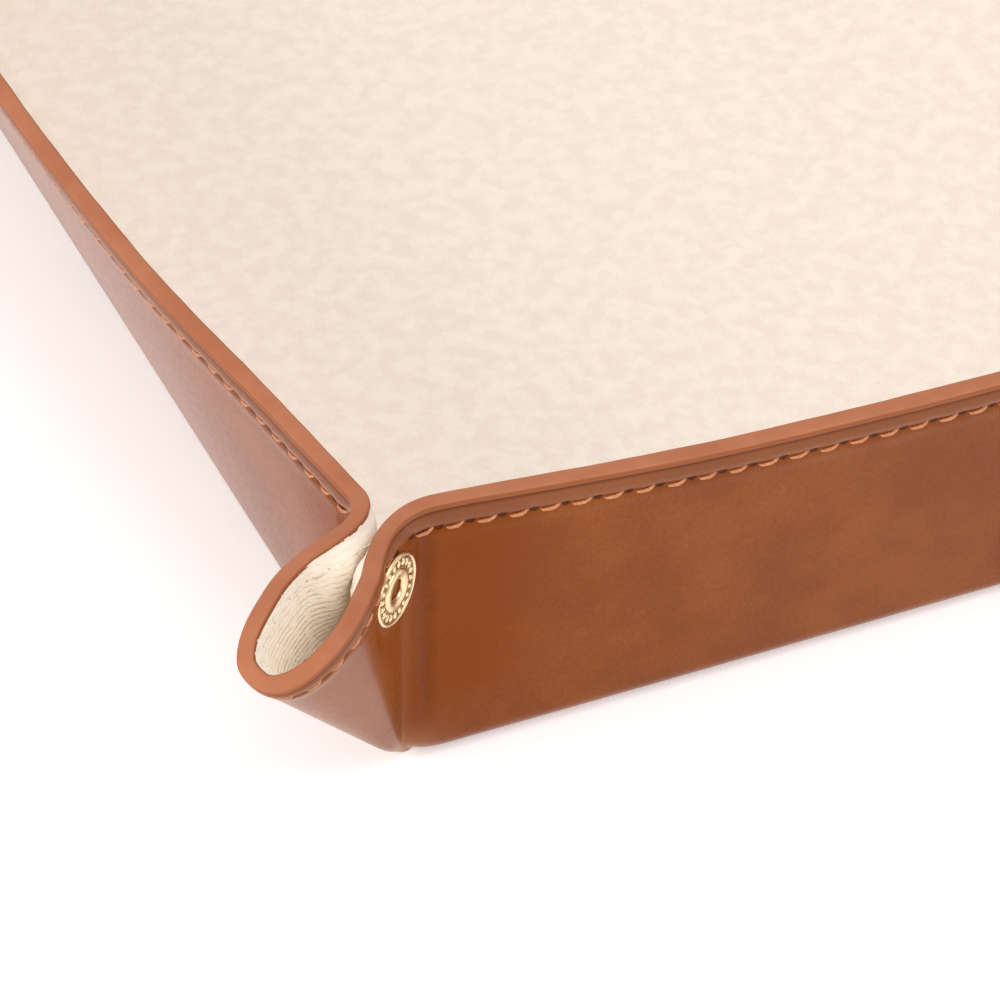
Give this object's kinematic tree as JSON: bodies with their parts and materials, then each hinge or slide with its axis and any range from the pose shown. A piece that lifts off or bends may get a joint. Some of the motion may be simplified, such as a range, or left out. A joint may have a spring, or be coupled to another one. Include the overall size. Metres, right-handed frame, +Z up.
{
  "type": "valet tray",
  "caption": "Rectangular leather valet tray with a soft lining; pinched corner ears held by snap fasteners, so that it opens out for packing.",
  "frame": {"origin": "underside of the tray, in the middle of the floor", "axes": "+X along the long walls, +Y along the short walls towards the back, +Z up"},
  "size_m": [0.281, 0.2326, 0.0416],
  "materials": {
    "leather": "smooth tan leather, semi-matt",
    "lining": "cream suede cloth",
    "board": "stiff fibre-filled sheet",
    "snap_metal": "polished pale gold plating"
  },
  "bodies": {
    "floor": {"floor_leather": "leather", "floor_board": "board", "floor_lining": "lining"},
    "front_wall": {"front_wall_leather": "leather", "front_wall_lining": "lining"},
    "back_wall": {"back_wall_leather": "leather", "back_wall_lining": "lining"},
    "left_wall": {"left_wall_leather": "leather", "left_wall_lining": "lining"},
    "right_wall": {"right_wall_leather": "leather", "right_wall_lining": "lining"},
    "front_right_short_panel": {"front_right_short_panel_leather": "leather", "front_right_short_panel_lining": "lining", "front_right_snap_flange": "snap_metal", "front_right_snap_stud": "snap_metal"},
    "front_right_short_roll": {"front_right_short_roll_leather": "leather", "front_right_short_roll_lining": "lining"},
    "front_right_long_panel": {"front_right_long_panel_leather": "leather", "front_right_long_panel_lining": "lining", "front_right_snap_cap": "snap_metal", "front_right_snap_socket": "snap_metal"},
    "front_right_long_roll": {"front_right_long_roll_leather": "leather", "front_right_long_roll_lining": "lining"},
    "front_left_short_panel": {"front_left_short_panel_leather": "leather", "front_left_short_panel_lining": "lining", "front_left_snap_flange": "snap_metal", "front_left_snap_stud": "snap_metal"},
    "front_left_short_roll": {"front_left_short_roll_leather": "leather", "front_left_short_roll_lining": "lining"},
    "front_left_long_panel": {"front_left_long_panel_leather": "leather", "front_left_long_panel_lining": "lining", "front_left_snap_cap": "snap_metal", "front_left_snap_socket": "snap_metal"},
    "front_left_long_roll": {"front_left_long_roll_leather": "leather", "front_left_long_roll_lining": "lining"},
    "back_right_short_panel": {"back_right_short_panel_leather": "leather", "back_right_short_panel_lining": "lining", "back_right_snap_flange": "snap_metal", "back_right_snap_stud": "snap_metal"},
    "back_right_short_roll": {"back_right_short_roll_leather": "leather", "back_right_short_roll_lining": "lining"},
    "back_right_long_panel": {"back_right_long_panel_leather": "leather", "back_right_long_panel_lining": "lining", "back_right_snap_cap": "snap_metal", "back_right_snap_socket": "snap_metal"},
    "back_right_long_roll": {"back_right_long_roll_leather": "leather", "back_right_long_roll_lining": "lining"},
    "back_left_short_panel": {"back_left_short_panel_leather": "leather", "back_left_short_panel_lining": "lining", "back_left_snap_flange": "snap_metal", "back_left_snap_stud": "snap_metal"},
    "back_left_short_roll": {"back_left_short_roll_leather": "leather", "back_left_short_roll_lining": "lining"},
    "back_left_long_panel": {"back_left_long_panel_leather": "leather", "back_left_long_panel_lining": "lining", "back_left_snap_cap": "snap_metal", "back_left_snap_socket": "snap_metal"},
    "back_left_long_roll": {"back_left_long_roll_leather": "leather", "back_left_long_roll_lining": "lining"}
  },
  "joints": [
    {"name": "front_wall_fold", "type": "hinge", "parent": "floor", "child": "front_wall", "pos_m": [0, -0.08897, 0.00103], "axis": [1, 0, 0], "range_deg": [0, 53]},
    {"name": "back_wall_fold", "type": "hinge", "parent": "floor", "child": "back_wall", "pos_m": [0, 0.08897, 0.00103], "axis": [-1, 0, 0], "range_deg": [0, 53.01]},
    {"name": "right_wall_fold", "type": "hinge", "parent": "floor", "child": "right_wall", "pos_m": [0.11897, 0, 0.00103], "axis": [0, 1, 0], "range_deg": [0, 62.01]},
    {"name": "left_wall_fold", "type": "hinge", "parent": "floor", "child": "left_wall", "pos_m": [-0.11897, 0, 0.00103], "axis": [0, -1, 0], "range_deg": [0, 62.01]},
    {"name": "front_right_short_panel_fold", "type": "hinge", "parent": "right_wall", "child": "front_right_short_panel", "pos_m": [0.11897, -0.08897, 0.00103], "axis": [0.0213, -0.0068, 0.9998], "range_deg": [-41.99, 0]},
    {"name": "front_right_short_roll_fold", "type": "hinge", "parent": "front_right_short_panel", "child": "front_right_short_roll", "pos_m": [0.11897, -0.08897, 0.00103], "axis": [0.4526, -0.4524, 0.7685], "range_deg": [0, 67.52]},
    {"name": "front_right_long_panel_fold", "type": "hinge", "parent": "front_wall", "child": "front_right_long_panel", "pos_m": [0.11897, -0.08897, 0.00103], "axis": [-0.0309, -0.083, 0.9961], "range_deg": [0, 45.91]},
    {"name": "front_right_long_roll_fold", "type": "hinge", "parent": "front_right_long_panel", "child": "front_right_long_roll", "pos_m": [0.11897, -0.08897, 0.00103], "axis": [0.3071, -0.5663, 0.7649], "range_deg": [-67.52, 0]},
    {"name": "front_left_short_panel_fold", "type": "hinge", "parent": "left_wall", "child": "front_left_short_panel", "pos_m": [-0.11897, -0.08897, 0.00103], "axis": [0.0213, 0.0068, -0.9998], "range_deg": [-41.99, 0]},
    {"name": "front_left_short_roll_fold", "type": "hinge", "parent": "front_left_short_panel", "child": "front_left_short_roll", "pos_m": [-0.11897, -0.08897, 0.00103], "axis": [0.4526, 0.4524, -0.7685], "range_deg": [0, 67.52]},
    {"name": "front_left_long_panel_fold", "type": "hinge", "parent": "front_wall", "child": "front_left_long_panel", "pos_m": [-0.11897, -0.08897, 0.00103], "axis": [-0.0309, 0.083, -0.9961], "range_deg": [0, 45.91]},
    {"name": "front_left_long_roll_fold", "type": "hinge", "parent": "front_left_long_panel", "child": "front_left_long_roll", "pos_m": [-0.11897, -0.08897, 0.00103], "axis": [0.3071, 0.5663, -0.7649], "range_deg": [-67.52, 0]},
    {"name": "back_right_short_panel_fold", "type": "hinge", "parent": "right_wall", "child": "back_right_short_panel", "pos_m": [0.11897, 0.08897, 0.00103], "axis": [-0.0213, -0.0068, -0.9998], "range_deg": [-41.99, 0]},
    {"name": "back_right_short_roll_fold", "type": "hinge", "parent": "back_right_short_panel", "child": "back_right_short_roll", "pos_m": [0.11897, 0.08897, 0.00103], "axis": [-0.4526, -0.4524, -0.7685], "range_deg": [0, 67.52]},
    {"name": "back_right_long_panel_fold", "type": "hinge", "parent": "back_wall", "child": "back_right_long_panel", "pos_m": [0.11897, 0.08897, 0.00103], "axis": [0.0309, -0.083, -0.9961], "range_deg": [0, 45.91]},
    {"name": "back_right_long_roll_fold", "type": "hinge", "parent": "back_right_long_panel", "child": "back_right_long_roll", "pos_m": [0.11897, 0.08897, 0.00103], "axis": [-0.3071, -0.5663, -0.7649], "range_deg": [-67.52, 0]},
    {"name": "back_left_short_panel_fold", "type": "hinge", "parent": "left_wall", "child": "back_left_short_panel", "pos_m": [-0.11897, 0.08897, 0.00103], "axis": [-0.0213, 0.0068, 0.9998], "range_deg": [-41.99, 0]},
    {"name": "back_left_short_roll_fold", "type": "hinge", "parent": "back_left_short_panel", "child": "back_left_short_roll", "pos_m": [-0.11897, 0.08897, 0.00103], "axis": [-0.4526, 0.4524, 0.7685], "range_deg": [0, 67.52]},
    {"name": "back_left_long_panel_fold", "type": "hinge", "parent": "back_wall", "child": "back_left_long_panel", "pos_m": [-0.11897, 0.08897, 0.00103], "axis": [0.0309, 0.083, 0.9961], "range_deg": [0, 45.91]},
    {"name": "back_left_long_roll_fold", "type": "hinge", "parent": "back_left_long_panel", "child": "back_left_long_roll", "pos_m": [-0.11897, 0.08897, 0.00103], "axis": [-0.3071, 0.5663, 0.7649], "range_deg": [-67.52, 0]}
  ],
  "couplings": [
    {"joint": "back_wall_fold", "follows": "front_wall_fold", "ratio": 1},
    {"joint": "right_wall_fold", "follows": "front_wall_fold", "ratio": 1.1698},
    {"joint": "left_wall_fold", "follows": "front_wall_fold", "ratio": 1.1698},
    {"joint": "front_right_short_panel_fold", "follows": "front_wall_fold", "ratio": -0.79201},
    {"joint": "front_right_short_roll_fold", "follows": "front_wall_fold", "ratio": 1.2738},
    {"joint": "front_right_long_panel_fold", "follows": "front_wall_fold", "ratio": 0.86595},
    {"joint": "front_right_long_roll_fold", "follows": "front_wall_fold", "ratio": -1.2738},
    {"joint": "front_left_short_panel_fold", "follows": "front_wall_fold", "ratio": -0.79201},
    {"joint": "front_left_short_roll_fold", "follows": "front_wall_fold", "ratio": 1.2738},
    {"joint": "front_left_long_panel_fold", "follows": "front_wall_fold", "ratio": 0.86595},
    {"joint": "front_left_long_roll_fold", "follows": "front_wall_fold", "ratio": -1.2738},
    {"joint": "back_right_short_panel_fold", "follows": "front_wall_fold", "ratio": -0.79201},
    {"joint": "back_right_short_roll_fold", "follows": "front_wall_fold", "ratio": 1.2738},
    {"joint": "back_right_long_panel_fold", "follows": "front_wall_fold", "ratio": 0.86595},
    {"joint": "back_right_long_roll_fold", "follows": "front_wall_fold", "ratio": -1.2738},
    {"joint": "back_left_short_panel_fold", "follows": "front_wall_fold", "ratio": -0.79201},
    {"joint": "back_left_short_roll_fold", "follows": "front_wall_fold", "ratio": 1.2738},
    {"joint": "back_left_long_panel_fold", "follows": "front_wall_fold", "ratio": 0.86595},
    {"joint": "back_left_long_roll_fold", "follows": "front_wall_fold", "ratio": -1.2738}
  ]
}
